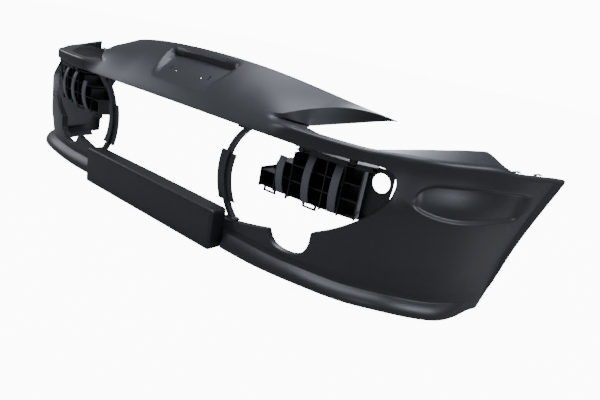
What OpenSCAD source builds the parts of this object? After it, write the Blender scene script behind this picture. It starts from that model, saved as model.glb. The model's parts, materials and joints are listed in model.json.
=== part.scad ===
// Front bumper cover of a compact car, with the small parts that come on it.
// Millimetres. The front faces -Y, the car's left-hand wing is at +X, Z is up.
// X = 0 is the centre plane, Z = 0 the lowest edge, Y = 0 half the depth.

/* [Cover] */
// Wall thickness of the moulded cover
wall = 3; // [2.6:0.1:3.4]
// Depth of the turned-in edge round the grille mouth
mouth_return = 18; // [14:1:22]
// How far the lower lip stands out from the face above it
lip_out = 22; // [18:1:26]
// Depth of the panel pressed into each wing
wing_recess = 7; // [4:1:9]
// Depth of the badge seat in the nose panel
badge_depth = 17; // [12:1:20]

/* [Number plate plinth] */
// Width of the plinth that carries the number plate
plinth_width = 530; // [500:5:530]
// Height of the plinth
plinth_height = 101; // [96:1:106]
// Distance from the plinth's front face back to the cover behind it
plinth_depth = 45; // [43:0.5:46]

/* [Fasteners] */
// Diameter of the expanding rivets' bodies
rivet_body = 8; // [7:0.5:8.5]
// Travel of a rivet's centre pin
pin_travel = 9; // [7:0.5:9]

/* [Hidden] */
$fn = 48;
half_depth = 265;
// plan curve of the face: two cubic arcs, front to corner and corner to arch
front_y = plinth_depth;
corner = [732, 185];
arch_end = [853, 537];
a1 = [[0, front_y], [478, front_y], [605, 12], corner];
a2 = [corner, [776, 245], [822, 391], arch_end];
function bez(p, t) = p[0] * pow(1 - t, 3) + p[1] * 3 * t * pow(1 - t, 2)
    + p[2] * 3 * t * t * (1 - t) + p[3] * t * t * t;
plan = [for (k = [0:60]) bez(a1, k / 60), for (k = [1:60]) bez(a2, k / 60)];
girth = [for (i = 0, s = 0; i < len(plan);
    s = s + (i + 1 < len(plan) ? norm(plan[i + 1] - plan[i]) : 0), i = i + 1) s];
tab_x = [for (i = [0:len(plan) - 1]) [girth[i], plan[i][0]]];
tab_y = [for (i = [0:len(plan) - 1]) [girth[i], plan[i][1]]];
tab_s = [for (i = [0:len(plan) - 1]) [plan[i][0], girth[i]]];
s_end = girth[len(girth) - 1];
function gx(s) = lookup(s, tab_x);
function gy(s) = lookup(s, tab_y);
function sx(x) = lookup(x, tab_s);
function unit(v) = v / max(norm(v), 1e-9);
function tan2(s) = unit([gx(min(s + 8, s_end)) - gx(max(s - 8, 0)),
    gy(min(s + 8, s_end)) - gy(max(s - 8, 0))]);
function nrm(s) = let (t = s < 1 ? [1, 0] : tan2(s)) [t[1], -t[0]];
// a point of the face: girth s, height z, distance d out from the plan curve
function face(s, z, d) = let (n = nrm(s), e = d + belly(gx(s), z))
    [gx(s) + n[0] * e, gy(s) + n[1] * e, z];
function clamp(t) = min(1, max(0, t));
function smooth(t) = let (c = clamp(t)) c * c * (3 - 2 * c);
// the corner bellies out at mid height and draws in towards its upper edge
function belly(x, z) = smooth((x - 560) / 90) * (1 - smooth((x - 745) / 70))
    * (8 * smooth((z - 60) / 70) * (1 - smooth((z - 230) / 70)) - 20 * smooth((z - 230) / 90));
function mix(a, b, t) = a + (b - a) * t;

// outlines, by distance x from the centre plane
notch_x = 447;
notch_w = 57;
mouth_x = 645;
lamp_x = 402;
crease_z = 334;
function lower_line(x) = x < 390 ? 58 + 41 * pow(x / 390, 2.4)
    : 99 + 169 * (1 - pow(1 - pow(clamp((x - 390) / 255), 1.5), 0.61));
function notch(x) = abs(x - notch_x) > notch_w ? 900
    : 67 + 50 * (1 - sqrt(1 - pow(abs(x - notch_x) / notch_w, 2.6)));
function wing_low(x) = 218 + 50 * pow(1 - clamp((x - mouth_x) / 130), 2.8)
    + 14 * smooth((x - 808) / 16);
function mouth_low(x) = x <= mouth_x ? min(lower_line(x), notch(x)) : wing_low(x);
function mouth_top(x) = x <= mouth_x ? 300 + 6 * smooth((x - 420) / 160)
        - 36 * (1 - sqrt(1 - pow(clamp((x - 575) / 70.5), 3)))
    : x < 672 ? mix(275, 249, smooth((x - mouth_x) / 27))
    : 249 + 41 * sqrt(1 - pow(1 - clamp((x - 671) / 50), 2)) - 13 * pow(clamp((x - 765) / 55), 1.8);
function lip_low(x) = 12 + 8 * smooth((x - 350) / 200) - 17 * smooth((x - 640) / 140);
function lip_crease(x) = 44 + 4 * smooth((x - 400) / 120) - 16 * smooth((x - 640) / 150);
arch_edge = [for (k = [0:40]) bez([[340, -10], [352, 110], [400, 185], [537, 312]], k / 40)];
function arch(s) = lookup(gy(s), arch_edge);
function rim_z(s) = crease_z - 10 * smooth((gx(s) - 770) / 45)
    - 13 * clamp((s - sx(810)) / (s_end - sx(810)));
function wing_top(s) = let (x = gx(s))
    mix(329 + 28 * clamp((x - 590) / 190), rim_z(s) - 3, smooth((x - 781) / 19));
function rail_depth(x) = 62 - 22 * smooth((x - 402) / 60) + 10 * smooth((x - 620) / 90)
    - 32 * smooth((x - 781) / 20);
function lip_d(s, z) = let (x = gx(s), c = lip_crease(x), b = lip_low(x))
    (lip_out * (1 - pow(clamp((z - b) / (c - b)), 2.2)) - 2 * max(0, 1 - abs(z - c - 6) / 10))
        * smooth((x - 266) / 16) * (1 - smooth((s - sx(736)) / 150))
    + flare(s, z);
// the wing's edge at the wheel arch: tucked in at the foot, flared above
function flare(s, z) = mix(-5, 7, smooth((arch(s) + 10) / 110))
    * (1 - smooth((z - arch(s)) / 40)) * smooth((gx(s) - 770) / 28);

// hood edge and nose surface
function hood_z(x) = 432 - 150 * pow(x / 1000, 2) - 450 * pow(x / 1000, 4);
function hood_y(x) = 172 + 100 * pow(x / 1000, 2) + 7800 * pow(x / 1000, 6);
tip = [505, 312, 366];
lamp_in = [402, 118, 332];
function crown(x) = 5 + 15 * smooth((x - 200) / 190);
function nose(x, z) = let (h = hood_z(x), t = clamp((z - 300) / (h - 300)), e = gy(sx(x)),
    b = crown(x) * sin(180 * t), d = badge(x, z))
    [x, mix(e, hood_y(x), pow(t, 1.12)) - 0.7 * b + 0.74 * d, z + 0.5 * b - 0.67 * d];
function badge(x, z) = badge_depth * smooth((129 - 34 * pow(clamp((416 - z) / 80), 2) - x) / 12)
    * smooth((416 - z) / 9) * pow(clamp((z - 336) / 72), 0.9);
function brow_z(x) = 332 + 30 * pow(smooth((x - 322) / 130) / 0.66, 0.9);

// stations along the face
x_list = [0, 50, 100, 117, 129, 160, 200, 240, 266, 283, 305, 330, 350,
    370, 388, 390.3, 393, lamp_x, 418, 434, 450, 466, 482, 494, 501, 503.7, 505,
    for (x = [524:20:584]) x, 600, 614, 626, 635, 641, mouth_x, 647.5, 660, 674, 684,
    696, 710, 724, 737, 750, 763, 775, 782, 790];
s_list = concat([for (x = x_list) sx(x)],
    [for (k = [1:13]) mix(sx(790), s_end - 11, k / 13)]);
n = len(s_list) - 1;
i_lamp = [for (k = [0:len(x_list) - 1]) if (x_list[k] == lamp_x) k][0];
i_mouth = [for (k = [0:len(x_list) - 1]) if (x_list[k] == mouth_x) k][0];
n_tip = 9;
i_tip = i_lamp + n_tip;
rows = 29;

// how deep the turned-in rows lie: the mouth's edge, then the wing's pressed panel
function inset(x, lo, hi) = x <= mouth_x ? mouth_return
    : wing_recess * smooth((x - lo) / 10) * (1 - smooth((x - hi) / 8));
// depth of the flange under the lip
function under(s) = 22 + 55 * smooth((gx(s) - 590) / 90) * (1 - smooth((s - sx(768)) / 60));
function low_rows(s) = let (x = gx(s), b = lip_low(x), c = lip_crease(x), m = mouth_low(x),
    t = mouth_top(x), r = rim_z(s), a = arch(s), in_m = x <= mouth_x,
    z = [b + 4, b, b + 12, mix(b, c, 0.75), c, c + 9, mix(c + 9, m, 0.15),
        mix(c + 9, m, 0.34), mix(c + 9, m, 0.58), mix(c + 9, m, 0.8), m,
        in_m ? m - 1 : m + min(6, 0.3 * (t - m)),
        in_m ? t + 1 : t - min(6, 0.3 * (t - m)), t, mix(t, r, 0.35), mix(t, r, 0.7), r])
    [for (j = [0:16]) let (zz = max(z[j], a + min((r - a) * 0.05, 4.5) * (j == 0 ? 0.3 : j - 1)))
        face(s, zz, (j == 0 ? lip_d(s, zz) - under(s) : lip_d(s, zz))
            - (j == 11 ? inset(x, 674, 807) : j == 12 ? inset(x, 674, 815) : 0))];
function open_t(x) = smooth((x - 322) / (lamp_x - 322));
// upper rows inboard of the lamp's corner
function nose_rows(x) = let (q = open_t(x), e = gy(sx(x)), zb = max(brow_z(x), 337), h = hood_z(x))
    concat([mix(nose(x, 326), [x, e + 1, crease_z], q)], [mix(nose(x, 330), [x, 108, 331.5], q)],
        [mix(nose(x, 333), lamp_in, q)], [nose(x, zb)],
        [for (k = [1:8]) nose(x, mix(zb, h, k / 8))], [[x, hood_y(x) + 9, h - 12]]);
// how far the nose stands off a straight line above the lamp's corner
function bulge(k) = let (z0 = brow_z(lamp_x), z1 = hood_z(lamp_x))
    nose(lamp_x, mix(z0, z1, k)) - mix(nose(lamp_x, z0), nose(lamp_x, z1), k);
// outboard of it: the flank runs back to the point of the nose
function flank(w) = let (x = mix(lamp_x, tip[0], w), e = mix(lamp_in, tip, w),
    c = bez([nose(lamp_x, brow_z(lamp_x)), [430, 190, 384], [472, 238, 385], tip], w),
    h = [x, hood_y(x), hood_z(x)])
    concat([e], [c], [for (k = [1:8]) mix(c, h, k / 8) + bulge(k / 8) * (1 - w)],
        [h + [0, 9, -12] * (1 - 0.8 * w)]);
function column(i) = let (s = s_list[i], x = gx(s), lo = low_rows(s))
    i <= i_lamp ? concat([for (j = [0:12]) lo[j]],
            [for (z = [300, 308, 317]) mix(nose(x, z), face(s, z + 2 * (z - 300) / 17, 0), open_t(x))],
            nose_rows(x))
        : concat(lo, [face(s, wing_top(s), -rail_depth(x))],
            flank(min(1, (i - i_lamp) / n_tip) * 0.965));
half = [for (i = [0:n]) column(i)];
cols = 2 * n + 1;
function at(i, j) = let (k = i - n, p = half[abs(k)][j]) [k < 0 ? -p[0] : p[0], p[1] - half_depth, p[2]];
grid = [for (i = [0:cols - 1]) [for (j = [0:rows - 1]) at(i, j)]];
// which cells of the grid are there: a cell has corners i, i+1 and j, j+1
function cell(i, j) = i < 0 || j < 0 || i >= cols - 1 || j >= rows - 1 ? false
    : let (k = i >= n ? i - n : n - 1 - i)
        !(j == 11 && k < i_mouth) && !(j == 17 && k >= i_lamp) && !(j > 17 && k >= i_tip);
there = [for (i = [0:cols - 2]) [for (j = [0:rows - 2]) cell(i, j)]];
function is_there(i, j) = i < 0 || j < 0 || i >= cols - 1 || j >= rows - 1 ? false : there[i][j];
facing = [for (i = [0:cols - 2]) [for (j = [0:rows - 2]) there[i][j]
    ? unit(cross(grid[i + 1][j + 1] - grid[i][j], grid[i][j + 1] - grid[i + 1][j])) : [0, 0, 0]]];
function fc(i, j) = is_there(i, j) ? facing[i][j] : [0, 0, 0];
function vn(i, j) = unit(fc(i, j) + fc(i - 1, j) + fc(i, j - 1) + fc(i - 1, j - 1));
inner = [for (i = [0:cols - 1]) [for (j = [0:rows - 1]) grid[i][j] - vn(i, j) * wall]];
m_v = cols * rows;
function id(i, j) = i * rows + j;
function quad(a, b, c, d) = [[a, b, c], [a, c, d]];
skin_points = [for (g = [grid, inner]) for (c = g) for (p = c) p];
// the cells in an order where each one touches an earlier one
cells = concat([for (i = [0:cols - 2]) for (j = [0:17]) if (there[i][j]) [i, j]],
    [for (k = [0:n - 1]) for (i = [n + k, n - 1 - k]) for (j = [18:rows - 2]) if (there[i][j]) [i, j]]);
function corners(c, m) = [id(c[0], c[1]) + m, id(c[0] + 1, c[1]) + m,
    id(c[0] + 1, c[1] + 1) + m, id(c[0], c[1] + 1) + m];
skin_faces = concat(
    [for (c = cells) let (q = corners(c, 0)) for (f = quad(q[0], q[3], q[2], q[1])) f],
    [for (c = cells) let (i = c[0], j = c[1], q = corners(c, 0))
        for (f = concat(is_there(i, j - 1) ? [] : quad(q[0], q[1], q[1] + m_v, q[0] + m_v),
            is_there(i, j + 1) ? [] : quad(q[2], q[3], q[3] + m_v, q[2] + m_v),
            is_there(i - 1, j) ? [] : quad(q[3], q[0], q[0] + m_v, q[3] + m_v),
            is_there(i + 1, j) ? [] : quad(q[1], q[2], q[2] + m_v, q[1] + m_v))) f],
    [for (c = cells) let (q = corners(c, m_v)) for (f = quad(q[0], q[1], q[2], q[3])) f]);

// points for the small parts
function depth_at(x) = gy(sx(abs(x))) - half_depth;
strut_r = 142;
strut_x = 373;
strut_z = 186;
rivet_x = [452, 556];
screw_x = [-200, -70, 70, 200];
screw_z = 36;
nut_s = [sx(801.5) + 8, sx(829)];
tab_x0 = 150;
br_x = [330, 372, 414, 456, 498, 540, 580];
function br_top(x) = mix(222, 287, smooth((x - 322) / 115));
// a strip of the plan between two girth positions and two distances behind the face
function strip(x0, x1, d0, d1, z, k) = concat(
    [for (i = [0:k]) let (p = face(sx(mix(x0, x1, i / k)), z, -d0)) [p[0], p[1] - half_depth]],
    [for (i = [k:-1:0]) let (p = face(sx(mix(x0, x1, i / k)), z, -d1)) [p[0], p[1] - half_depth]]);
module strip_plate(x0, x1, d0, d1, z, t, k = 10)
    translate([0, 0, z]) linear_extrude(t) polygon(strip(x0, x1, d0, d1, z, k));
// local frame on the face at x: local Y points into the car
module on_face(x, z, d = 0) {
    p = face(sx(x), z, -d);
    t = tan2(sx(x));
    translate([p[0], p[1] - half_depth, z]) rotate([0, 0, atan2(t[1], t[0])]) children();
}
module both_sides() { children(); mirror([1, 0, 0]) children(); }

// The moulded cover: one continuous wall, with its screw, rivet and badge holes
module bumper_skin() {
    color([0.16, 0.17, 0.18]) difference() {
        union() {
            polyhedron(skin_points, skin_faces, convexity = 12);
            both_sides() hood_tab();
        }
        both_sides() translate([tab_x0, hood_y(tab_x0) + 24 - half_depth, hood_z(tab_x0) - 20])
            cylinder(r = 3.5, h = 12);
        for (x = screw_x) translate([x, depth_at(x) - 6, screw_z])
            rotate([-90, 0, 0]) cylinder(r = 2.2, h = 14);
        both_sides() for (z = [290, 68]) translate([289, 56.5 - half_depth, z])
            cylinder(r = 2.2, h = 18);
        both_sides() for (s = nut_s) nut_frame(s) translate([0, 0, -6]) cylinder(r = 2.6, h = 9);
        both_sides() for (x = rivet_x) on_face(x, 296, 14) cylinder(r = rivet_body / 2 + 0.1, h = 14);
        both_sides() badge_frame(49, 368) cylinder(r = 3.2, h = 30, center = true);
        both_sides() badge_frame(74, 373) for (y = [-5, 5]) translate([0, y, 0])
            cylinder(r = 2.2, h = 30, center = true);
        both_sides() badge_frame(74, 373) cube([4.4, 10, 30], center = true);
    }
}
// local frame on the badge seat: local Z points out of the nose, local Y up the slope
module badge_frame(x, z) {
    p = nose(x, z);
    translate([p[0], p[1] - half_depth, p[2]]) rotate([48, 0, 0]) children();
}

// Plinth for the number plate: a box moulding, open at the back, with four screw posts
module plate_plinth() {
    w = plinth_width / 2;
    h = plinth_height;
    y0 = -half_depth;
    color([0.1, 0.1, 0.11]) difference() {
        union() {
            difference() {
                translate([0, y0, 0]) hull() for (x = [-1, 1], z = [0, 1]) {
                    translate([x * (w - 8), 8, 8 + z * (h - 16)]) sphere(r = 8, $fn = 20);
                    translate([x * (w - 8), plinth_depth, 8 + z * (h - 16)])
                        rotate([90, 0, 0]) cylinder(r = 8, h = 2, center = true, $fn = 20);
                }
                translate([-w + 3, y0 + 3, 3]) cube([2 * w - 6, plinth_depth + 5, h - 6]);
            }
            for (x = screw_x) translate([x, y0 + 2, screw_z])
                rotate([-90, 0, 0]) cylinder(r = 6, h = plinth_depth);
            for (x = [-135, 0, 135]) translate([x - 1, y0 + 2, 2]) cube([2, plinth_depth - 14, h - 4]);
            translate([-w + 2, y0 + 2, h / 2 + 5]) cube([2 * w - 4, 14, 2]);
        }
        // the rear edge follows the cover's plan curve
        translate([0, 0, -1]) linear_extrude(h + 2) polygon(concat(
            [for (x = [-w - 12:12:w + 12]) [x, depth_at(x) - 0.05]],
            [[w + 20, depth_at(w) + 40], [-w - 20, depth_at(w) + 40]]));
        for (x = screw_x) translate([x, y0 + 8, screw_z])
            rotate([-90, 0, 0]) cylinder(r = 2.1, h = plinth_depth);
    }
}

// Screws driven from behind the cover into the plinth's posts
module plinth_screws() {
    color([0.55, 0.56, 0.58]) for (x = screw_x) translate([x, depth_at(x) + wall + 0.15, screw_z]) {
        rotate([90, 0, 0]) cylinder(r = 2.1, h = 18 + wall);
        rotate([-90, 0, 0]) cylinder(r = 5, h = 1.6);
        rotate([-90, 0, 0]) translate([0, 0, 1.5]) cylinder(r = 3.8, h = 2.2);
    }
}

// Bowed strut across the grille mouth
module strut() {
    yb = -half_depth + 56;
    difference() {
        union() {
            intersection() {
                translate([strut_x, yb, strut_z]) rotate([90, 0, 0]) difference() {
                    union() {
                        cylinder(r = strut_r + 5, h = 14, center = true, $fn = 96);
                        intersection() {
                            cylinder(r = strut_r + 24, h = 3, center = true, $fn = 96);
                            translate([-230, -72, -5]) cube([230, 118, 10]);
                        }
                    }
                    cylinder(r = strut_r - 5, h = 20, center = true, $fn = 96);
                }
                translate([100, yb - 20, 82]) cube([183, 40, 216.5]);
            }
            intersection() {
                translate([strut_x, yb, strut_z]) rotate([90, 0, 0]) difference() {
                    cylinder(r = strut_r - 4, h = 3, center = true, $fn = 96);
                    cylinder(r = strut_r - 22, h = 5, center = true, $fn = 96);
                }
                translate([180, yb - 20, 116]) cube([100, 40, 112]);
            }
            translate([262, yb - 12, 296.8]) cube([34, 18, 3.1]);
            translate([262, yb - 12, 79.8]) cube([34, 18, 3.2]);
            translate([289, yb + 0.5, 78.5]) cylinder(r = 4.5, h = 2);
        }
        translate([289, yb + 0.5, 290]) cylinder(r = 2.4, h = 12);
        translate([289, yb + 0.5, 74]) cylinder(r = 2.4, h = 12);
    }
}
module mouth_strut_right() { color([0.22, 0.24, 0.25]) strut(); }
module mouth_strut_left() { color([0.22, 0.24, 0.25]) mirror([1, 0, 0]) strut(); }

// Screws through the struts' end lugs into the turned-in edges of the mouth
module strut_screws() {
    y = -half_depth + 56.5;
    color([0.5, 0.51, 0.53]) both_sides() for (z = [296.8, 83]) translate([289, y, z])
        mirror([0, 0, z > 200 ? 0 : 1]) {
            translate([0, 0, -2.4]) cylinder(r = 4.2, h = 2.4);
            translate([0, 0, -0.5]) cylinder(r = 2.1, h = 10.5);
        }
}

// Ribbed corner bracket behind the mouth
module bracket() {
    difference() {
        union() {
            for (f = [0.02, 0.34, 0.66]) strip_plate(f > 0.5 ? 373 : 330, 580, 26, 70,
                mix(179, 287, f), 2.4);
            strip_plate(414, 600, 26, 72, 285, 2.6);
            for (x = br_x) on_face(x, 178, 24) translate([-1.2, 0, 0])
                cube([2.4, 47.4, br_top(x) - 178.6]);
            for (i = [0:5]) hull() for (x = [br_x[i], br_x[i + 1]])
                on_face(x, 178, 69) translate([-0.5, 0, 0]) cube([1, 2.4, br_top(x) - 178.4]);
            // top flange with the rivet seats
            strip_plate(424, 606, 5, 60, 297.4, 2.6);
            strip_plate(430, 600, 48, 51, 286, 12, 8);
            strip_plate(432, 596, 8, 10.5, 288, 10, 8);
            for (x = [440, 494, 590]) on_face(x, 288, 8.2) cube([2.4, 20, 10]);
            for (x = rivet_x) on_face(x, 299, 14) cylinder(r = 8.5, h = rivet_seat(x) - 299);
            // clip loops under the bottom rib
            for (x = [352, 466]) on_face(x, 166, 40) difference() {
                translate([-17, -2, 0]) cube([34, 4, 16]);
                translate([-13, -5, 3.5]) cube([26, 10, 8.5]);
            }
            on_face(400, 168, 40) cylinder(r = 3, h = 14.5);
            // side plate with the round opening
            translate([0, 112 - half_depth, 0]) rotate([90, 0, 0]) linear_extrude(2.6)
                polygon([[572, 184], [590, 186], [612, 214], [628, 238], [631, 262], [630, 288],
                    [612, 297.5], [572, 297.5]]);
            strip_plate(560, 598, 26, 72, 184, 2.4, 3);
        }
        translate([604, 130 - half_depth, 268]) rotate([90, 0, 0]) cylinder(r = 20, h = 40);
        for (x = rivet_x) on_face(x, 290, 14) cylinder(r = rivet_body / 2 + 0.1, h = 24);
        for (x = rivet_x) on_face(x, 276, 14) cylinder(r = 10, h = 21.6);
    }
}
function rivet_seat(x) = mouth_top(x) + 0.1;
module corner_bracket_right() { color([0.08, 0.08, 0.09]) bracket(); }
module corner_bracket_left() { color([0.08, 0.08, 0.09]) mirror([1, 0, 0]) bracket(); }

// Three bowed bands across the front of each bracket
module bands() {
    for (x = [393, 462, 528]) on_face(x, 0, 25) translate([0, 88, 232]) rotate([0, 90, 0])
        intersection() {
            difference() {
                cylinder(r = 104, h = 17, center = true, $fn = 72);
                cylinder(r = 101, h = 20, center = true, $fn = 72);
            }
            translate([-(min(286, br_top(x)) - 232), -110, -10]) cube([min(286, br_top(x)) - 232 + 50, 60, 20]);
        }
}
module bracket_bands_right() { color([0.3, 0.31, 0.33]) bands(); }
module bracket_bands_left() { color([0.3, 0.31, 0.33]) mirror([1, 0, 0]) bands(); }

// Expanding rivets: bodies up through the bracket flange and the mouth's top edge
rivet_len = pin_travel + 4;
module rivet_body() {
    difference() {
        union() {
            cylinder(r = 9, h = 2);
            translate([0, 0, 1.9]) cylinder(r = rivet_body / 2, h = rivet_len + 0.1);
        }
        translate([0, 0, -1]) cylinder(r = 2.15, h = rivet_len + 6);
    }
}
module rivet_bodies() {
    color([0.05, 0.05, 0.05]) both_sides() for (x = rivet_x)
        on_face(x, 295.4, 14) rivet_body();
}
module rivet_pin() {
    translate([0, 0, -1.8]) cylinder(r = 5, h = 1.8);
    translate([0, 0, -0.1]) cylinder(r = 2.1, h = rivet_len + 1);
}
module rivet_pin_1() { color([0.06, 0.06, 0.06]) on_face(rivet_x[0], 295.4, 14) rivet_pin(); }
module rivet_pin_2() { color([0.06, 0.06, 0.06]) on_face(rivet_x[1], 295.4, 14) rivet_pin(); }
module rivet_pin_3() {
    color([0.06, 0.06, 0.06]) mirror([1, 0, 0]) on_face(rivet_x[0], 295.4, 14) rivet_pin();
}
module rivet_pin_4() {
    color([0.06, 0.06, 0.06]) mirror([1, 0, 0]) on_face(rivet_x[1], 295.4, 14) rivet_pin();
}

// Spring nuts slid over the wing's top edge
module nut_frame(s) {
    p = face(s, rim_z(s) - 3, -14.5);
    t = tan2(s);
    translate([p[0], p[1] - half_depth, p[2]]) rotate([0, 0, atan2(t[1], t[0])]) children();
}
module spring_nut(s) nut_frame(s) difference() {
    union() {
        translate([-8, -5, 3.1]) cube([16, 14.3, 0.8]);
        translate([-8, 8.5, -6.9]) cube([16, 0.8, 10.8]);
        translate([-8, -5, -6.9]) cube([16, 14.3, 0.8]);
        translate([0, 0, 3.8]) cylinder(r = 4, h = 2);
    }
    translate([0, 0, -10]) cylinder(r = 2.4, h = 20);
}
module wing_spring_nuts() {
    color([0.7, 0.72, 0.74]) both_sides() for (s = nut_s) spring_nut(s);
}

// Tab behind the hood edge that bolts to the car's front panel
module hood_tab() translate([tab_x0 - 20, hood_y(tab_x0) + 5 - half_depth, hood_z(tab_x0) - 14])
    cube([40, 31, 3]);

bumper_skin();
plate_plinth();
plinth_screws();
mouth_strut_right();
mouth_strut_left();
strut_screws();
corner_bracket_right();
corner_bracket_left();
bracket_bands_right();
bracket_bands_left();
rivet_bodies();
rivet_pin_1();
rivet_pin_2();
rivet_pin_3();
rivet_pin_4();
wing_spring_nuts();
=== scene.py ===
"""Visual model of a compact car's front bumper cover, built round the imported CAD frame.

Lengths inside the shape functions are millimetres in the frame's axes: the front faces -Y, +X is
the car's left-hand wing and Z is up. Meshes are made in metres.
"""

import json
import logging
import math
from dataclasses import dataclass, field
from enum import Enum
from typing import Callable, Iterable, Sequence

import bpy
import numpy as np
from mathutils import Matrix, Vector

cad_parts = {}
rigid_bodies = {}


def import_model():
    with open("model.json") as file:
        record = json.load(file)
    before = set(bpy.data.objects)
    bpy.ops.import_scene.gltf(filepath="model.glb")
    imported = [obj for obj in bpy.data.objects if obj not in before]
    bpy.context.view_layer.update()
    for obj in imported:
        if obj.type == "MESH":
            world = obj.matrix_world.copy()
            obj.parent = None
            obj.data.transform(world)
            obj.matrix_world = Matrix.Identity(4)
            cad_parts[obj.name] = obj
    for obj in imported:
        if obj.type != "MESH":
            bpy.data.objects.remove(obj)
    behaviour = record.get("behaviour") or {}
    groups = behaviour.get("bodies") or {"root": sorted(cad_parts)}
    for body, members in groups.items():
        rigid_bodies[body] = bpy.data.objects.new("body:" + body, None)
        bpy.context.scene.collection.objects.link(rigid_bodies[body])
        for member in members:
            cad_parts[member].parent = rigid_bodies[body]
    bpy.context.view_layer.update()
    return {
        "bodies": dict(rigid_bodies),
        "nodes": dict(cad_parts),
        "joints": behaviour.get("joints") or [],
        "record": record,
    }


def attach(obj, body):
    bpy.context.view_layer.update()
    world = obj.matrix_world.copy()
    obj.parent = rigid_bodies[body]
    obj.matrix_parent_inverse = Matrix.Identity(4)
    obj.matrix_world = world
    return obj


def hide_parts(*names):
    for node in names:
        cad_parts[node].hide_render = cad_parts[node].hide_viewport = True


LOG = logging.getLogger("bumper_cover")
MM = 0.001
# half the box's depth: shape functions measure depth from the plinth's front
HALF_DEPTH = 265.0
Point = tuple[float, float, float]


class Grain(Enum):
    """How a moulded surface is textured: bump distance in mm and pattern size in mm."""

    SATIN = (0.012, 0.55)  # moulded skin, all but smooth to the touch
    FINE = (0.03, 0.8)  # eroded tool surface of hidden mouldings
    NONE = (0.0, 1.0)


@dataclass(frozen=True)
class Finish:
    """One surface finish.

    Args:
        name: material name.
        colour: sRGB colour as six hex digits.
        roughness: microfacet roughness.
        metallic: 0 for plastics, 1 for metals.
        ior: index of refraction.
        grain: moulded texture.
    """

    name: str
    colour: str
    roughness: float
    metallic: float = 0.0
    ior: float = 1.49
    grain: Grain = Grain.SATIN

    def material(self) -> bpy.types.Material:
        """Builds the node tree once and returns the material."""
        made = bpy.data.materials.get(self.name)
        if made is not None:
            return made
        made = bpy.data.materials.new(self.name)
        made.use_nodes = True
        tree = made.node_tree
        tree.nodes.clear()
        out = add_node(tree, "ShaderNodeOutputMaterial")
        shader = add_node(tree, "ShaderNodeBsdfPrincipled")
        shader.inputs["Base Color"].default_value = (*linear(self.colour), 1.0)
        shader.inputs["Metallic"].default_value = self.metallic
        shader.inputs["IOR"].default_value = self.ior
        shader.inputs["Roughness"].default_value = self.roughness
        tree.links.new(shader.outputs["BSDF"], out.inputs["Surface"])
        distance, size = self.grain.value
        if distance > 0:
            place = add_node(tree, "ShaderNodeTexCoord")
            grit = 1 / (size * MM)
            noise = add_node(tree, "ShaderNodeTexNoise", Scale=grit, Detail=3.0, Roughness=0.55)
            bump = add_node(tree, "ShaderNodeBump", Strength=0.5, Distance=distance * MM)
            tree.links.new(place.outputs["Object"], noise.inputs["Vector"])
            tree.links.new(noise.outputs["Fac"], bump.inputs["Height"])
            tree.links.new(bump.outputs["Normal"], shader.inputs["Normal"])
            wave = add_node(tree, "ShaderNodeTexNoise", Scale=9.0, Detail=2.0)
            spread = add_node(
                tree,
                "ShaderNodeMapRange",
                **{"To Min": self.roughness - 0.03, "To Max": self.roughness + 0.03},
            )
            tree.links.new(place.outputs["Object"], wave.inputs["Vector"])
            tree.links.new(wave.outputs["Fac"], spread.inputs["Value"])
            tree.links.new(spread.outputs["Result"], shader.inputs["Roughness"])
        return made


def linear(colour: str) -> tuple[float, float, float]:
    """Turns six sRGB hex digits into linear red, green and blue."""
    parts = [int(colour[k : k + 2], 16) / 255 for k in (0, 2, 4)]
    r, g, b = (c / 12.92 if c <= 0.04045 else ((c + 0.055) / 1.055) ** 2.4 for c in parts)
    return r, g, b


def add_node(tree: bpy.types.NodeTree, kind: str, **values: float) -> bpy.types.Node:
    """Adds one shader node and sets its named inputs.

    Args:
        tree: node tree of a material.
        kind: Blender's node type.
        values: input name to value.

    Returns:
        The new node.
    """
    node = tree.nodes.new(kind)
    for name, value in values.items():
        node.inputs[name].default_value = value
    return node


# injection-moulded polypropylene, satin: broad soft highlights on near-black
COVER = Finish("cover_black", "26282b", 0.36)
# the same plastic from a duller tool
PLINTH = Finish("plinth_black", "1d1e20", 0.42)
# glass-filled polypropylene, moulded: a little greyer
STRUT = Finish("strut_grey", "2c2e31", 0.42)
# black polypropylene with a fine eroded grain, dark in its cells
BRACKET = Finish("bracket_black", "1b1c1e", 0.4, grain=Grain.FINE)
# grey nylon strips, slightly glossier than the bracket; their grey is lifted well above the nylon's own
# tone to stand in for the bright highlights along them: partly own colour, partly painted highlight
BAND_GREY_AND_PAINTED_HIGHLIGHT = Finish("band_grey_painted_highlight", "5a5d62", 0.4)
# black acetal, smooth
RIVET = Finish("rivet_black", "161718", 0.4, grain=Grain.NONE)
# zinc-plated steel: bright and slightly matt
ZINC = Finish("zinc_plate", "b9bcc0", 0.32, metallic=1.0, grain=Grain.NONE)


# ---------------------------------------------------------------- shape functions


def clamp(t: float) -> float:
    """Limits t to 0..1."""
    return min(1.0, max(0.0, t))


def smooth(t: float) -> float:
    """Eases t from 0 to 1."""
    c = clamp(t)
    return c * c * (3 - 2 * c)


def mix(a, b, t: float):
    """Linear blend of two numbers or arrays."""
    return a + (b - a) * t


def bez(points: Sequence[Sequence[float]], t: float) -> np.ndarray:
    """Point of a cubic curve."""
    p = np.asarray(points, float)
    return p[0] * (1 - t) ** 3 + p[1] * 3 * t * (1 - t) ** 2 + p[2] * 3 * t * t * (1 - t) + p[3] * t**3


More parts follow.
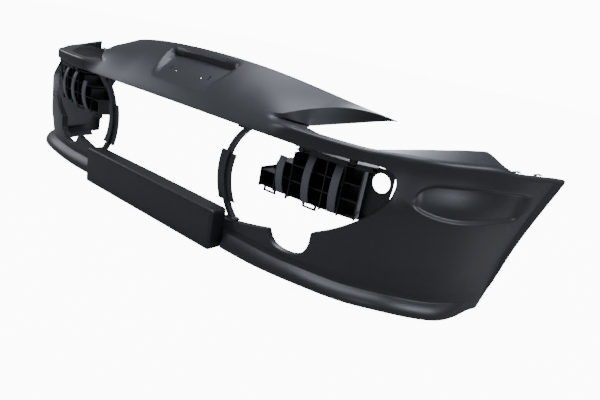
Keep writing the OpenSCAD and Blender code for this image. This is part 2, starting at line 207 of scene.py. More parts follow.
@dataclass
class PlanCurve:
    """The face's curve seen from above, from the centre plane to the wheel arch."""

    front_y: float = 45.0
    corner: tuple[float, float] = (732.0, 185.0)
    arch_end: tuple[float, float] = (853.0, 537.0)
    steps: int = 60

    def __post_init__(self) -> None:
        """Samples the two arcs."""
        first = [(0, self.front_y), (478, self.front_y), (605, 12), self.corner]
        second = [self.corner, (776, 245), (822, 391), self.arch_end]
        pts = [bez(first, k / self.steps) for k in range(self.steps + 1)]
        pts += [bez(second, k / self.steps) for k in range(1, self.steps + 1)]
        self.points = np.array(pts)
        steps = np.linalg.norm(np.diff(self.points, axis=0), axis=1)
        self.girth = np.concatenate([[0], np.cumsum(steps)])
        self.end = float(self.girth[-1])

    def gx(self, s: float) -> float:
        """Distance from the centre plane at girth s."""
        return float(np.interp(s, self.girth, self.points[:, 0]))

    def gy(self, s: float) -> float:
        """Distance behind the plinth's front at girth s."""
        return float(np.interp(s, self.girth, self.points[:, 1]))

    def sx(self, x: float) -> float:
        """Girth at distance x from the centre plane."""
        return float(np.interp(x, self.points[:, 0], self.girth))

    def tangent(self, s: float) -> np.ndarray:
        """Unit tangent at girth s."""
        if s < 1:
            return np.array([1.0, 0.0])
        a, b = min(s + 8, self.end), max(s - 8, 0.0)
        v = np.array([self.gx(a) - self.gx(b), self.gy(a) - self.gy(b)])
        return v / np.linalg.norm(v)

    def face(self, s: float, z: float, d: float) -> np.ndarray:
        """Point at girth s and height z, d out from the curve."""
        t = self.tangent(s)
        d += self.belly(self.gx(s), z)
        return np.array([self.gx(s) + t[1] * d, self.gy(s) - t[0] * d, z])

    @staticmethod
    def belly(x: float, z: float) -> float:
        """How far the corner bellies out at mid height and draws in towards its upper edge."""
        out = 8 * smooth((z - 60) / 70) * (1 - smooth((z - 230) / 70)) - 20 * smooth((z - 230) / 90)
        return out * smooth((x - 560) / 90) * (1 - smooth((x - 745) / 70))


@dataclass
class CoverShape:
    """Outlines and surfaces of the moulded cover, in mm by distance x from the centre plane."""

    plan: PlanCurve = field(default_factory=PlanCurve)
    wall: float = 3.0
    mouth_return: float = 18.0
    lip_out: float = 22.0
    wing_recess: float = 7.0
    badge_depth: float = 17.0
    notch_x: float = 447.0
    notch_w: float = 57.0
    mouth_x: float = 645.0
    lamp_x: float = 402.0
    crease_z: float = 334.0
    tip: tuple[float, float, float] = (505.0, 312.0, 366.0)
    lamp_in: tuple[float, float, float] = (402.0, 118.0, 332.0)
    arch_edge: np.ndarray | None = None

    def lower_line(self, x: float) -> float:
        """Lower edge of the mouth, the notch left out."""
        if x < 390:
            return 58 + 41 * (x / 390) ** 2.4
        return 99 + 169 * (1 - (1 - clamp((x - 390) / 255) ** 1.5) ** 0.61)

    def notch(self, x: float) -> float:
        """Lower edge inside the rounded notch."""
        u = abs(x - self.notch_x) / self.notch_w
        return 900.0 if u > 1 else 67 + 50 * (1 - math.sqrt(1 - u**2.6))

    def mouth_low(self, x: float) -> float:
        """Lower edge of the mouth, or of the wing's pressed panel."""
        if x <= self.mouth_x:
            return min(self.lower_line(x), self.notch(x))
        return 218 + 50 * (1 - clamp((x - self.mouth_x) / 130)) ** 2.8 + 14 * smooth((x - 808) / 16)

    def mouth_top(self, x: float) -> float:
        """Upper edge of the mouth, or of the wing's pressed panel."""
        if x <= self.mouth_x:
            end = 36 * (1 - math.sqrt(1 - clamp((x - 575) / 70.5) ** 3))
            return 300 + 6 * smooth((x - 420) / 160) - end
        if x < 672:
            return mix(275, 249, smooth((x - self.mouth_x) / 27))
        rise = 41 * math.sqrt(1 - (1 - clamp((x - 671) / 50)) ** 2)
        return 249 + rise - 13 * clamp((x - 765) / 55) ** 1.8

    def lip_low(self, x: float) -> float:
        """Lowest edge of the lip."""
        return 12 + 8 * smooth((x - 350) / 200) - 17 * smooth((x - 640) / 140)

    def lip_crease(self, x: float) -> float:
        """Height where the lip meets the face."""
        return 44 + 4 * smooth((x - 400) / 120) - 16 * smooth((x - 640) / 150)

    def arch(self, s: float) -> float:
        """Height of the wheel arch's edge."""
        if self.arch_edge is None:
            ends = ((340, -10), (352, 110), (400, 185), (537, 312))
            self.arch_edge = np.array([bez(ends, k / 40) for k in range(41)])
        return float(np.interp(self.plan.gy(s), self.arch_edge[:, 0], self.arch_edge[:, 1]))

    def rim_z(self, s: float) -> float:
        """Height of the wing's upper edge."""
        start = self.plan.sx(810)
        run = clamp((s - start) / (self.plan.end - start))
        return self.crease_z - 10 * smooth((self.plan.gx(s) - 770) / 45) - 13 * run

    def wing_top(self, s: float) -> float:
        """Height of the back edge of the rail under the headlight."""
        x = self.plan.gx(s)
        return mix(329 + 28 * clamp((x - 590) / 190), self.rim_z(s) - 3, smooth((x - 781) / 19))

    def rail_depth(self, x: float) -> float:
        """Depth of the rail under the headlight."""
        out = 62 - 22 * smooth((x - 402) / 60) + 10 * smooth((x - 620) / 90)
        return out - 32 * smooth((x - 781) / 20)

    def lip_d(self, s: float, z: float) -> float:
        """How far the lip, or the flare at the arch, stands out at height z."""
        x = self.plan.gx(s)
        c, b = self.lip_crease(x), self.lip_low(x)
        groove = 2 * max(0.0, 1 - abs(z - c - 6) / 10)
        lip = self.lip_out * (1 - clamp((z - b) / (c - b)) ** 2.2) - groove
        lip *= smooth((x - 266) / 16) * (1 - smooth((s - self.plan.sx(736)) / 150))
        return lip + self.flare(s, z)

    def flare(self, s: float, z: float) -> float:
        """The wing's edge at the wheel arch: tucked in at the foot, flared above."""
        edge = self.arch(s)
        out = mix(-5, 7, smooth((edge + 10) / 110)) * (1 - smooth((z - edge) / 40))
        return out * smooth((self.plan.gx(s) - 770) / 28)

    def hood_z(self, x: float) -> float:
        """Height of the hood edge."""
        return 432 - 150 * (x / 1000) ** 2 - 450 * (x / 1000) ** 4

    def hood_y(self, x: float) -> float:
        """Depth of the hood edge."""
        return 172 + 100 * (x / 1000) ** 2 + 7800 * (x / 1000) ** 6

    def crown(self, x: float) -> float:
        """How far the nose bulges between the mouth and the hood edge."""
        return 5 + 15 * smooth((x - 200) / 190)

    def badge(self, x: float, z: float) -> float:
        """Depth of the badge seat at a point of the nose."""
        edge = 129 - 34 * clamp((416 - z) / 80) ** 2
        inside = smooth((edge - x) / 12) * smooth((416 - z) / 9)
        return self.badge_depth * inside * clamp((z - 336) / 72) ** 0.9

    def nose(self, x: float, z: float) -> np.ndarray:
        """Point of the nose panel."""
        h = self.hood_z(x)
        t = clamp((z - 300) / (h - 300))
        b = self.crown(x) * math.sin(math.pi * t)
        d = self.badge(x, z)
        y = mix(self.plan.gy(self.plan.sx(x)), self.hood_y(x), t**1.12)
        return np.array([x, y - 0.7 * b + 0.74 * d, z + 0.5 * b - 0.67 * d])

    def brow_z(self, x: float) -> float:
        """Height of the crease over the headlight's inner end."""
        return 332 + 30 * (smooth((x - 322) / 130) / 0.66) ** 0.9


@dataclass
class CoverSkin:
    """The moulded cover as one closed wall over a grid of columns and rows."""

    shape: CoverShape = field(default_factory=CoverShape)
    tip_columns: int = 9
    tip_steps: int = 3
    tip_end: float = 0.965
    arch_columns: int = 13
    arch_start_x: float = 790.0
    arch_margin: float = 11.0
    column_step: float = 8.0
    fillet: float = 2.0
    rim_fillet: float = 11.0
    badge_tilt: float = 48.0
    # x, z, radius and straight length of each hole in the badge seat
    badge_holes: tuple[tuple[float, ...], ...] = ((49, 368, 3.2, 0.0), (74, 373, 2.2, 10.0))
    tab_x: float = 150.0
    tab_size: Point = (40.0, 31.0, 3.0)
    tab_hole: float = 3.5
    row_steps: tuple[int, ...] = (
        (1, 4, 3, 2, 2, 2, 3, 3, 3, 2, 1, 4, 1, 2, 2, 1, 1, 1, 2) + (2,) * 8 + (1,)
    )
    round_rows: tuple[int, ...] = (1, 4, 10, 11, 12, 13, 16, 17, 18, 19, 27)
    inner_stations: tuple[float, ...] = (
        0, 50, 100, 117, 129, 160, 200, 240, 266, 283, 305, 330, 350, 370, 388, 390.3, 393, 402, 418,
        434, 450, 466, 482, 494, 501, 503.7, 505, 524, 544, 564, 584, 600, 614, 626, 635, 641, 645,
        647.5, 660, 674, 684, 696, 710, 724, 737, 750, 763, 775, 782, 790,
    )  # fmt: skip

    def stations(self) -> list[float]:
        """Girths of the key columns."""
        plan = self.shape.plan
        first = [plan.sx(x) for x in self.inner_stations]
        start, end = plan.sx(self.arch_start_x), plan.end - self.arch_margin
        return first + [mix(start, end, k / self.arch_columns) for k in range(1, self.arch_columns + 1)]

    def inset(self, x: float, low: float, high: float) -> float:
        """How deep a turned-in row lies: the mouth's edge, then the wing's panel."""
        if x <= self.shape.mouth_x:
            return self.shape.mouth_return
        return self.shape.wing_recess * smooth((x - low) / 10) * (1 - smooth((x - high) / 8))

    def low_rows(self, s: float, x: float) -> tuple[list[float], list[float]]:
        """Heights and depths of rows 0 to 16 at one column.

        Args:
            s: girth.
            x: distance from the centre plane.

        Returns:
            The heights and how far each row is set in.
        """
        h = self.shape
        b, c, m, t = h.lip_low(x), h.lip_crease(x), h.mouth_low(x), h.mouth_top(x)
        r, a = h.rim_z(s), h.arch(s)
        mouth = x <= h.mouth_x
        gap = min(6.0, 0.3 * (t - m))
        z = [b + 4, b, b + 12, mix(b, c, 0.75), c, c + 9]
        z += [mix(c + 9, m, f) for f in (0.15, 0.34, 0.58, 0.8)]
        z += [m, m - 1, t + 1, t] if mouth else [m, m + gap, t - gap, t]
        z += [mix(t, r, 0.35), mix(t, r, 0.7), r]
        floor = min((r - a) * 0.05, 4.5)
        z = [max(v, a + floor * (0.3 if j == 0 else j - 1)) for j, v in enumerate(z)]
        deep = [0.0] * 17
        run = clamp((s - h.plan.sx(768)) / 60)
        deep[0] = 22 + 55 * smooth((x - 590) / 90) * (1 - smooth(run))
        deep[11], deep[12] = self.inset(x, 674, 807), self.inset(x, 674, 815)
        return z, deep

    def column(self, s: float, u: float, lamp: int) -> list[np.ndarray]:
        """All row points of one column.

        Args:
            s: girth of the column.
            u: its place among the key columns.
            lamp: key column at the headlight's inner corner.

        Returns:
            One point per row, before the corners are rounded.
        """
        h = self.shape
        plan = h.plan
        x = plan.gx(s)
        z, deep = self.low_rows(s, x)

        def low(j: int, f: float) -> np.ndarray:
            """Point of the face below the crease, share f of the way from row j to the next."""
            zz = mix(z[j], z[min(j + 1, 16)], f)
            return plan.face(s, zz, h.lip_d(s, zz) - mix(deep[j], deep[min(j + 1, 16)], f))

        open_t = smooth((x - 322) / (h.lamp_x - 322))
        if u <= lamp + 1e-6:

            def face_row(v: float) -> np.ndarray:
                """Point at height v of the band over the mouth."""
                return mix(h.nose(x, v), plan.face(s, v + 2 * (v - 300) / 17, 0), open_t)

            zb, top = max(h.brow_z(x), 337), h.hood_z(x)
            keys = [face_row(v) for v in (300, 308, 317)]
            keys += [
                mix(h.nose(x, 326), np.array([x, plan.gy(plan.sx(x)) + 1, h.crease_z]), open_t),
                mix(h.nose(x, 330), np.array([x, 108.0, 331.5]), open_t),
                mix(h.nose(x, 333), np.array(h.lamp_in), open_t),
            ]

            def point(j: int, f: float) -> np.ndarray:
                """Point between rows j and j + 1, inboard of the headlight."""
                if j < 12:
                    return low(j, f)
                if j == 12:
                    return mix(low(12, 0), keys[0], f)
                if j < 18:
                    return mix(keys[j - 13], keys[j - 12], f)
                if j == 18:
                    return mix(keys[5], h.nose(x, zb), f)
                if j < 27:
                    return h.nose(x, mix(zb, top, (j - 19 + f) / 8))
                return mix(h.nose(x, top), np.array([x, h.hood_y(x) + 9, top - 12]), f)

        else:
            w = min(1.0, (u - lamp) / self.tip_columns) * self.tip_end
            xf = mix(h.lamp_x, h.tip[0], w)
            rail = plan.face(s, h.wing_top(s), -h.rail_depth(x))
            edge = mix(np.array(h.lamp_in), np.array(h.tip), w)
            start = h.nose(h.lamp_x, h.brow_z(h.lamp_x))
            c = bez([start, (430, 190, 384), (472, 238, 385), h.tip], w)
            hood = np.array([xf, h.hood_y(xf), h.hood_z(xf)])
            z0, z1 = h.brow_z(h.lamp_x), h.hood_z(h.lamp_x)
            foot, head = h.nose(h.lamp_x, z0), h.nose(h.lamp_x, z1)

            def point(j: int, f: float) -> np.ndarray:
                """Point between rows j and j + 1, outboard of the headlight's inner corner."""
                if j < 16:
                    return low(j, f)
                if j == 16:
                    return mix(low(16, 0), rail, f)
                if j == 17:
                    return mix(rail, edge, f)
                if j == 18:
                    return mix(edge, c, f)
                if j < 27:
                    k = (j - 19 + f) / 8
                    off = h.nose(h.lamp_x, mix(z0, z1, k)) - mix(foot, head, k)
                    return mix(c, hood, k) + off * (1 - w)
                return hood + np.array([0, 9, -12]) * (1 - 0.8 * w) * f

        points = []
        for j, steps in enumerate(self.row_steps):
            points += [point(j, f / steps) for f in range(steps)]
        points.append(point(27, 1.0))
        return points

    def row_index(self) -> tuple[list[int], list[int]]:
        """Key row of every fine row, and the fine rows that are rounded corners."""
        owner, corners = [], []
        for j, steps in enumerate(self.row_steps):
            if j in self.round_rows:
                corners.append(len(owner))
            owner += [j] * steps
        owner.append(len(self.row_steps))
        return owner, corners

    def rounded(self, points: list[np.ndarray], corners: list[int], rim: int) -> list[np.ndarray]:
        """Replaces each corner point by three on an arc.

        Args:
            points: one column's points.
            corners: fine rows that are corners.
            rim: fine row of the upper rim, which has a wider arc.

        Returns:
            The column with its corners rounded.
        """
        out: list[np.ndarray] = []
        for k, p in enumerate(points):
            if k not in corners:
                out.append(p)
                continue
            arms = []
            for q, share in ((points[k - 1], 0.9), (points[k + 1], 0.55)):
                v = q - p
                length = float(np.linalg.norm(v))
                reach = min(self.fillet, 0.4 * length)
                if k == rim:
                    reach = min(self.rim_fillet, share * length)
                arms.append(p + v / max(length, 1e-9) * reach)
            out += [mix(mix(arms[0], p, t), mix(p, arms[1], t), t) for t in (0, 0.25, 0.5, 0.75, 1)]
        return out

    def build(self) -> bpy.types.Object:
        """Makes the closed wall as one mesh object.

        Returns:
            The object, at the origin, in metres.
        """
        keys = self.stations()
        lamp = self.inner_stations.index(self.shape.lamp_x)
        mouth = self.inner_stations.index(self.shape.mouth_x)
        owner, corners = self.row_index()
        # a corner's first two spans still belong to the interval below it
        cells_owner: list[int] = []
        for k, j in enumerate(owner[:-1]):
            cells_owner += [owner[k - 1]] * 2 + [j] * 3 if k in corners else [j]
        us: list[float] = []
        for i in range(len(keys) - 1):
            steps = max(1, round((keys[i + 1] - keys[i]) / self.column_step))
            if lamp <= i < lamp + self.tip_columns:
                steps = self.tip_steps
            us += [i + f / steps for f in range(steps)]
        us.append(float(len(keys) - 1))
        half = []
        for u in us:
            i = min(int(u), len(keys) - 2)
            s = mix(keys[i], keys[i + 1], u - i)
            half.append(self.rounded(self.column(s, u, lamp), corners, owner.index(16)))
        grid = np.array(half)
        left = grid[:0:-1] * np.array([-1, 1, 1])
        grid = np.concatenate([left, grid])
        grid[:, :, 1] -= HALF_DEPTH
        cols, rows = grid.shape[:2]
        n = len(us) - 1
        there = np.zeros((cols - 1, rows - 1), bool)
        for i in range(cols - 1):
            k = int(us[i - n] if i >= n else us[n - 1 - i])
            for j in range(rows - 1):
                o = cells_owner[j]
                gone = (o == 11 and k < mouth) or (o == 17 and k >= lamp)
                there[i, j] = not (gone or (o > 17 and k >= lamp + self.tip_columns))
        skin = wall_mesh("cover_skin", grid, there, self.shape.wall)
        self.cut_badge_holes(skin)
        self.add_hood_tabs(skin)
        return skin

    def place_badge_cutter(
        self, x: float, z: float, side: int, radius: float, length: float
    ) -> bpy.types.Object:
        """Adds one cylinder across the badge seat, stretched to a slot if it has a length.

        Args:
            x: distance from the centre plane.
            z: height on the seat.
            side: -1 or 1.
            radius: of the hole, in mm.
            length: straight length of the slot, in mm.

        Returns:
            The cutter.
        """
        p = self.shape.nose(x, z)
        bpy.ops.mesh.primitive_cylinder_add(
            vertices=24,
            radius=radius * MM,
            depth=30 * MM,
            location=(side * x * MM, (p[1] - HALF_DEPTH) * MM, p[2] * MM),
            rotation=(math.radians(self.badge_tilt), 0, 0),
        )
        tool = bpy.context.object
        bpy.ops.object.transform_apply(location=False, rotation=False, scale=False)
        for v in tool.data.vertices:
            v.co.y += math.copysign(length / 2 * MM, v.co.y)
        return tool

    def cut_badge_holes(self, skin: bpy.types.Object) -> None:
        """Cuts the two holes and two slots of the badge seat."""
        cutters = [
            self.place_badge_cutter(x, z, side, radius, length)
            for side in (-1, 1)
            for x, z, radius, length in self.badge_holes
        ]
        tool = joined(cutters)
        only(skin)
        cut = skin.modifiers.new("holes", "BOOLEAN")
        cut.object = tool
        bpy.ops.object.modifier_apply(modifier=cut.name)
        bpy.data.objects.remove(tool)

    def add_hood_tabs(self, skin: bpy.types.Object) -> None:
        """Adds the two tabs behind the hood edge, each with its bolt hole."""
        tabs = [skin]
        x = self.tab_x
        y, z = (self.shape.hood_y(x) - HALF_DEPTH) * MM, (self.shape.hood_z(x) - 12.5) * MM
        size = tuple(v * MM for v in self.tab_size)
        for side in (-1, 1):
            at = side * x * MM
            bpy.ops.mesh.primitive_cube_add(size=1, location=(at, y + 20.5 * MM, z), scale=size)
            bpy.ops.object.transform_apply()
            tab = bpy.context.object
            bpy.ops.mesh.primitive_cylinder_add(
                vertices=32, radius=self.tab_hole * MM, depth=12 * MM, location=(at, y + 24 * MM, z)
            )
            tool = bpy.context.object
            only(tab)
            cut = tab.modifiers.new("hole", "BOOLEAN")
            cut.object = tool
            bpy.ops.object.modifier_apply(modifier=cut.name)
            bpy.data.objects.remove(tool)
            tabs.append(tab)
        joined(tabs)


def wall_mesh(name: str, grid: np.ndarray, there: np.ndarray, wall: float) -> bpy.types.Object:
    """Thickens the cells that are there into one closed wall.

    Args:
        name: object name.
        grid: points by column and row, in mm.
        there: which cells exist.
        wall: thickness in mm, laid on the inner side.

    Returns:
        The mesh object in metres.
    """
    cols, rows = grid.shape[:2]
    facing = np.cross(grid[1:, 1:] - grid[:-1, :-1], grid[:-1, 1:] - grid[1:, :-1])
    facing /= np.maximum(np.linalg.norm(facing, axis=2, keepdims=True), 1e-9)
    facing *= there[:, :, None]
    vn = np.zeros_like(grid)
    for di in (0, 1):
        for dj in (0, 1):
            vn[di : cols - 1 + di, dj : rows - 1 + dj] += facing
    vn /= np.maximum(np.linalg.norm(vn, axis=2, keepdims=True), 1e-9)
    inner = grid - vn * wall
    used = np.zeros((cols, rows), bool)
    for di in (0, 1):
        for dj in (0, 1):
            used[di : cols - 1 + di, dj : rows - 1 + dj] |= there
    index = np.full((cols, rows), -1)
    index[used] = np.arange(used.sum())
    count = int(used.sum())
    verts = np.concatenate([grid[used], inner[used]]) * MM
    faces: list[tuple[int, ...]] = []

    def solid(i: int, j: int) -> bool:
        """True where a cell is there."""
        return 0 <= i < cols - 1 and 0 <= j < rows - 1 and bool(there[i, j])

    for i in range(cols - 1):
        for j in range(rows - 1):
            if not there[i, j]:
                continue
            a, b, c, d = (int(index[p]) for p in ((i, j), (i + 1, j), (i + 1, j + 1), (i, j + 1)))
            faces += [(a, b, c, d), (d + count, c + count, b + count, a + count)]
            sides = (((i, j - 1), a, b), ((i + 1, j), b, c), ((i, j + 1), c, d), ((i - 1, j), d, a))
            for gap, p, q in sides:
                if not solid(*gap):
                    faces.append((q, p, p + count, q + count))
    mesh = bpy.data.meshes.new(name)
    mesh.from_pydata(verts.tolist(), [], faces)
    mesh.validate()
    mesh.update()
    made = bpy.data.objects.new(name, mesh)
    bpy.context.collection.objects.link(made)
    return made


def only(piece: bpy.types.Object) -> None:
    """Selects one object and makes it active."""
    bpy.ops.object.select_all(action="DESELECT")
    piece.select_set(True)
    bpy.context.view_layer.objects.active = piece


def joined(parts: Sequence[bpy.types.Object]) -> bpy.types.Object:
    """Joins several mesh objects into the first and returns it."""
    bpy.ops.object.select_all(action="DESELECT")
    for part in parts:
        part.select_set(True)
    bpy.context.view_layer.objects.active = parts[0]
    bpy.ops.object.join()
    return parts[0]


def select_faces(piece: bpy.types.Object, wanted: Callable[[bpy.types.MeshPolygon], bool]) -> None:
    """Selects just the faces that pass a test, ready for edit mode.

    Args:
        piece: mesh object, in object mode.
        wanted: test on one face.
    """
    only(piece)
    bpy.ops.object.mode_set(mode="EDIT")
    bpy.ops.mesh.select_mode(type="FACE")
    bpy.ops.mesh.select_all(action="DESELECT")
    bpy.ops.object.mode_set(mode="OBJECT")
    for face in piece.data.polygons:
        face.select = wanted(face)


def dress(piece: bpy.types.Object, finish: Finish, angle: float = 40.0) -> None:
    """Gives a piece its finish and smooth shading up to an angle in degrees."""
    piece.data.materials.clear()
    piece.data.materials.append(finish.material())
    only(piece)
    bpy.ops.object.shade_smooth_by_angle(angle=math.radians(angle))


@dataclass
class Plinth:
    """Box moulding for the number plate: open at the back, ribbed, with four screw posts."""

    plan: PlanCurve
    width: float = 530.0
    height: float = 101.0
    depth: float = 45.0
    radius: float = 8.0
    wall: float = 3.0
    slice_width: float = 12.0
    post_radius: float = 6.0
    pilot_radius: float = 2.1
    post_x: tuple[float, ...] = (-200.0, -70.0, 70.0, 200.0)
    post_z: float = 36.0
    rib_x: tuple[float, ...] = (-135.0, 0.0, 135.0)
    rib: float = 2.0
    rib_clear: float = 14.0

    def back(self, x: float) -> float:
        """Frame Y of the cover's face at x, in millimetres."""
        return self.plan.gy(self.plan.sx(abs(x))) - HALF_DEPTH

    def box(self) -> bpy.types.Object:
        """The open box: a cube without its rear face, rounded, sliced and fitted to the cover."""
        middle = (0.0, (self.depth / 2 - HALF_DEPTH) * MM, self.height / 2 * MM)
        size = (self.width * MM, self.depth * MM, self.height * MM)
        bpy.ops.mesh.primitive_cube_add(size=1, location=middle, scale=size)
        bpy.ops.object.transform_apply()
        box = bpy.context.object
        select_faces(box, lambda face: face.normal.y > 0.9)
        bpy.ops.object.mode_set(mode="EDIT")
        bpy.ops.mesh.delete(type="FACE")
        bpy.ops.mesh.select_all(action="SELECT")
        bpy.ops.mesh.region_to_loop()
        bpy.ops.mesh.select_all(action="INVERT")
        bpy.ops.mesh.bevel(offset=self.radius * MM, segments=6, affect="EDGES")
        cuts = int(self.width / self.slice_width)
        for k in range(1, cuts):
            x = (k / cuts - 0.5) * self.width * MM
            bpy.ops.mesh.select_all(action="SELECT")
            bpy.ops.mesh.bisect(plane_co=(x, 0, 0), plane_no=(1, 0, 0))
        bpy.ops.object.mode_set(mode="OBJECT")
        rear = (self.depth - HALF_DEPTH - 0.1) * MM
        for v in box.data.vertices:
            if v.co.y > rear:
                v.co.y = (self.back(v.co.x / MM) - 0.05) * MM
        shell = box.modifiers.new("wall", "SOLIDIFY")
        shell.thickness = self.wall * MM
        shell.offset = -1.0
        only(box)
        bpy.ops.object.modifier_apply(modifier=shell.name)
        return box

    def post(self) -> bpy.types.Object:
        """One screw post with its pilot hole, standing on the plinth's front wall."""
        length = self.back(self.post_x[0]) + HALF_DEPTH - 2.4
        at = (0.0, (2.0 + length / 2 - HALF_DEPTH) * MM, self.post_z * MM)
        bpy.ops.mesh.primitive_cylinder_add(
            vertices=32, radius=self.post_radius * MM, depth=length * MM, location=at,
            rotation=(math.radians(90), 0, 0),
        )
        bpy.ops.object.transform_apply()
        post = bpy.context.object
        select_faces(post, lambda face: face.normal.y > 0.9)
        bpy.ops.object.mode_set(mode="EDIT")
        bpy.ops.mesh.inset(thickness=(self.post_radius - self.pilot_radius) * MM)
        bpy.ops.mesh.extrude_region_move(TRANSFORM_OT_translate={"value": (0, -(length - 6) * MM, 0)})
        bpy.ops.object.mode_set(mode="OBJECT")
        return post

    def add_rib(self, middle: Point, size: Point) -> bpy.types.Object:
        """One flat rib inside the box.

        Args:
            middle: its centre, in mm, with depth from the plinth's front.
            size: its size in mm.

        Returns:
            The rib.
        """
        at = (middle[0] * MM, (middle[1] - HALF_DEPTH) * MM, middle[2] * MM)
        bpy.ops.mesh.primitive_cube_add(size=1, location=at, scale=tuple(v * MM for v in size))
        bpy.ops.object.transform_apply()
        return bpy.context.object

    def build(self) -> bpy.types.Object:
        """Builds and dresses the plinth."""
        parts = [self.box()]
        first = self.post()
        for x in self.post_x:
            post = first.copy()
            post.data = first.data.copy()
            bpy.context.collection.objects.link(post)
            for v in post.data.vertices:
                v.co.x += x * MM
            parts.append(post)
        bpy.data.objects.remove(first)
        for x in self.rib_x:
            deep = self.back(x) + HALF_DEPTH - self.rib_clear
            upright = (self.rib, deep, self.height - 4)
            parts.append(self.add_rib((x, self.rib + deep / 2, self.height / 2), upright))
        deep = self.rib_clear
        across = (self.width - 4, deep, self.rib)
        parts.append(self.add_rib((0.0, self.rib + deep / 2, self.height / 2 + 6), across))
        plinth = joined(parts)
        plinth.name = "plinth_box"
        dress(plinth, PLINTH)
        return plinth


@dataclass(frozen=True)
class FramePieces:
    """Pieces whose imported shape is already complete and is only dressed.

    Args:
        nodes: node names in the frame.
        finish: finish of all of them.
    """

    nodes: tuple[str, ...]
    finish: Finish

    def build(self, frame: dict) -> None:
        """Puts the finish on every piece."""
        for node in self.nodes:
            for place in frame["nodes"][node].material_slots:
                place.material = self.finish.material()
            LOG.info("%s: %s", node, self.finish.name)


@dataclass
class MouthStruts:
    """The two bowed struts and their screws."""

    struts: FramePieces = FramePieces(("mouth_strut_right", "mouth_strut_left"), STRUT)
    screws: FramePieces = FramePieces(("strut_screws",), ZINC)

    def build(self, frame: dict) -> None:
        """Dresses struts and screws."""
        self.struts.build(frame)
        self.screws.build(frame)


@dataclass
class CornerBrackets:
    """Ribbed brackets, their bowed bands and the expanding rivets that hold them."""

    brackets: FramePieces = FramePieces(("corner_bracket_right", "corner_bracket_left"), BRACKET)
    # the bands' light grey carries a painted highlight on top of their own grey
    bands: FramePieces = FramePieces(("bracket_bands_right", "bracket_bands_left"), BAND_GREY_AND_PAINTED_HIGHLIGHT)
    rivets: FramePieces = FramePieces(
        ("rivet_bodies", "rivet_pin_1", "rivet_pin_2", "rivet_pin_3", "rivet_pin_4"), RIVET
    )

    def build(self, frame: dict) -> None:
        """Dresses brackets, bands and rivets."""
        for pieces in (self.brackets, self.bands, self.rivets):
            pieces.build(frame)


@dataclass(frozen=True)
class Lamp:
    """One soft square light.

    Args:
        name: object name.
        at: place, in metres.
        to: point it looks at, in metres.
        size: edge length in metres.
        power: in watts.
        colour: sRGB colour as six hex digits.
    """

    name: str
    at: Point
    to: Point
    size: float
    power: float
    colour: str = "eef3ff"

    def build(self) -> None:
        """Adds the light."""
        bpy.ops.object.light_add(type="AREA", location=self.at)
        lamp = bpy.context.object
        lamp.name = self.name
        lamp.data.size = self.size
        lamp.data.energy = self.power
        lamp.data.color = linear(self.colour)
        lamp.rotation_euler = (Vector(self.to) - Vector(self.at)).to_track_quat("-Z", "Y").to_euler()


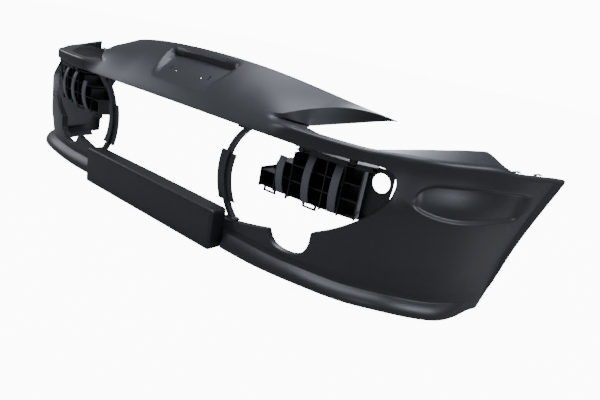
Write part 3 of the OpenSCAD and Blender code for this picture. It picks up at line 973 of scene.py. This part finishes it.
@dataclass
class Studio:
    """Camera, floor and soft lights.

    Args:
        white: glow of the backdrop as the camera sees it.
        room: glow of the backdrop on the piece.
        floor_glow: glow of the floor as the camera sees it.
        lamps: the soft square lights.
    """

    camera_at: Point = (1.028064, -1.026168, 0.511205)
    camera_turn: Point = (71.73626, -10.703265, 38.411981)
    lens: float = 29.96
    floor_size: float = 30.0
    white: float = 12.0
    room: float = 0.2
    floor_glow: float = 11.0
    floor_grey: float = 0.3
    lamps: tuple[Lamp, ...] = (
        Lamp("overhead", (0.1, -0.1, 2.4), (0.0, 0.05, 0.3), 2.4, 105),
        Lamp("front", (2.2, -2.6, 1.9), (0.3, 0, 0.2), 1.2, 10),
        Lamp("near_side", (2.5, 0.3, 1.7), (0.5, 0.0, 0.3), 0.8, 24),
        Lamp("rear_fill", (-0.6, 2.8, 1.6), (0.0, 0.1, 0.2), 1.6, 45),
        Lamp("far_side", (-2.6, -0.6, 1.2), (-0.7, 0, 0.2), 1.0, 14),
    )

    def build(self) -> None:
        """Places the camera, the floor and the lights."""
        bpy.ops.object.camera_add(location=self.camera_at)
        camera = bpy.context.object
        camera.rotation_euler = tuple(math.radians(v) for v in self.camera_turn)
        camera.data.lens = self.lens
        camera.data.sensor_width = 36.0
        bpy.context.scene.camera = camera
        bpy.ops.mesh.primitive_plane_add(size=self.floor_size, location=(0, 0, -0.0005))
        floor = bpy.context.object
        floor.name = "floor"
        floor.data.materials.append(self.floor_material())
        for lamp in self.lamps:
            lamp.build()
        world = bpy.data.worlds.new("studio")
        bpy.context.scene.world = world
        world.use_nodes = True
        tree = world.node_tree
        tree.nodes.clear()
        seen = self.seen_by_camera(tree, "ShaderNodeBackground", self.white, self.room)
        out = add_node(tree, "ShaderNodeOutputWorld")
        tree.links.new(seen, out.inputs["Surface"])

    def seen_by_camera(
        self, tree: bpy.types.NodeTree, kind: str, white: float, other: float
    ) -> bpy.types.NodeSocket:
        """A glow that is white where the camera sees it and weaker where it lights the piece.

        Args:
            tree: node tree to add to.
            kind: node type of the glow.
            white: strength seen by the camera.
            other: strength for all other rays.

        Returns:
            The output to link from.
        """
        glow = add_node(tree, kind, Color=(1.0, 1.0, 1.0, 1.0))
        path = add_node(tree, "ShaderNodeLightPath")
        pick = add_node(tree, "ShaderNodeMapRange", **{"To Min": other, "To Max": white})
        tree.links.new(path.outputs["Is Camera Ray"], pick.inputs["Value"])
        tree.links.new(pick.outputs["Result"], glow.inputs["Strength"])
        return glow.outputs[0]

    def floor_material(self) -> bpy.types.Material:
        """Pale floor that keeps a soft shadow."""
        made = bpy.data.materials.new("floor_white")
        made.use_nodes = True
        tree = made.node_tree
        tree.nodes.clear()
        out = add_node(tree, "ShaderNodeOutputMaterial")
        matt = add_node(tree, "ShaderNodeBsdfDiffuse", Color=(*[self.floor_grey] * 3, 1.0))
        both = add_node(tree, "ShaderNodeAddShader")
        tree.links.new(matt.outputs[0], both.inputs[0])
        glow = self.seen_by_camera(tree, "ShaderNodeEmission", self.floor_glow, 0.0)
        tree.links.new(glow, both.inputs[1])
        tree.links.new(both.outputs[0], out.inputs["Surface"])
        return made


def main() -> None:
    """Builds every sub-assembly, then the studio."""
    logging.basicConfig(level=logging.INFO, format="%(name)s: %(message)s")
    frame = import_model()
    bpy.ops.object.select_all(action="DESELECT")

    skin = CoverSkin().build()
    dress(skin, COVER)
    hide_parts("bumper_skin")
    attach(skin, "cover")
    LOG.info("%s: %d faces", skin.name, len(skin.data.polygons))

    plinth = Plinth(PlanCurve()).build()
    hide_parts("plate_plinth")
    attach(plinth, "cover")
    LOG.info("%s: %d faces", plinth.name, len(plinth.data.polygons))
    FramePieces(("plinth_screws", "wing_spring_nuts"), ZINC).build(frame)
    MouthStruts().build(frame)
    CornerBrackets().build(frame)
    Studio().build()


if __name__ == "__main__":
    main()
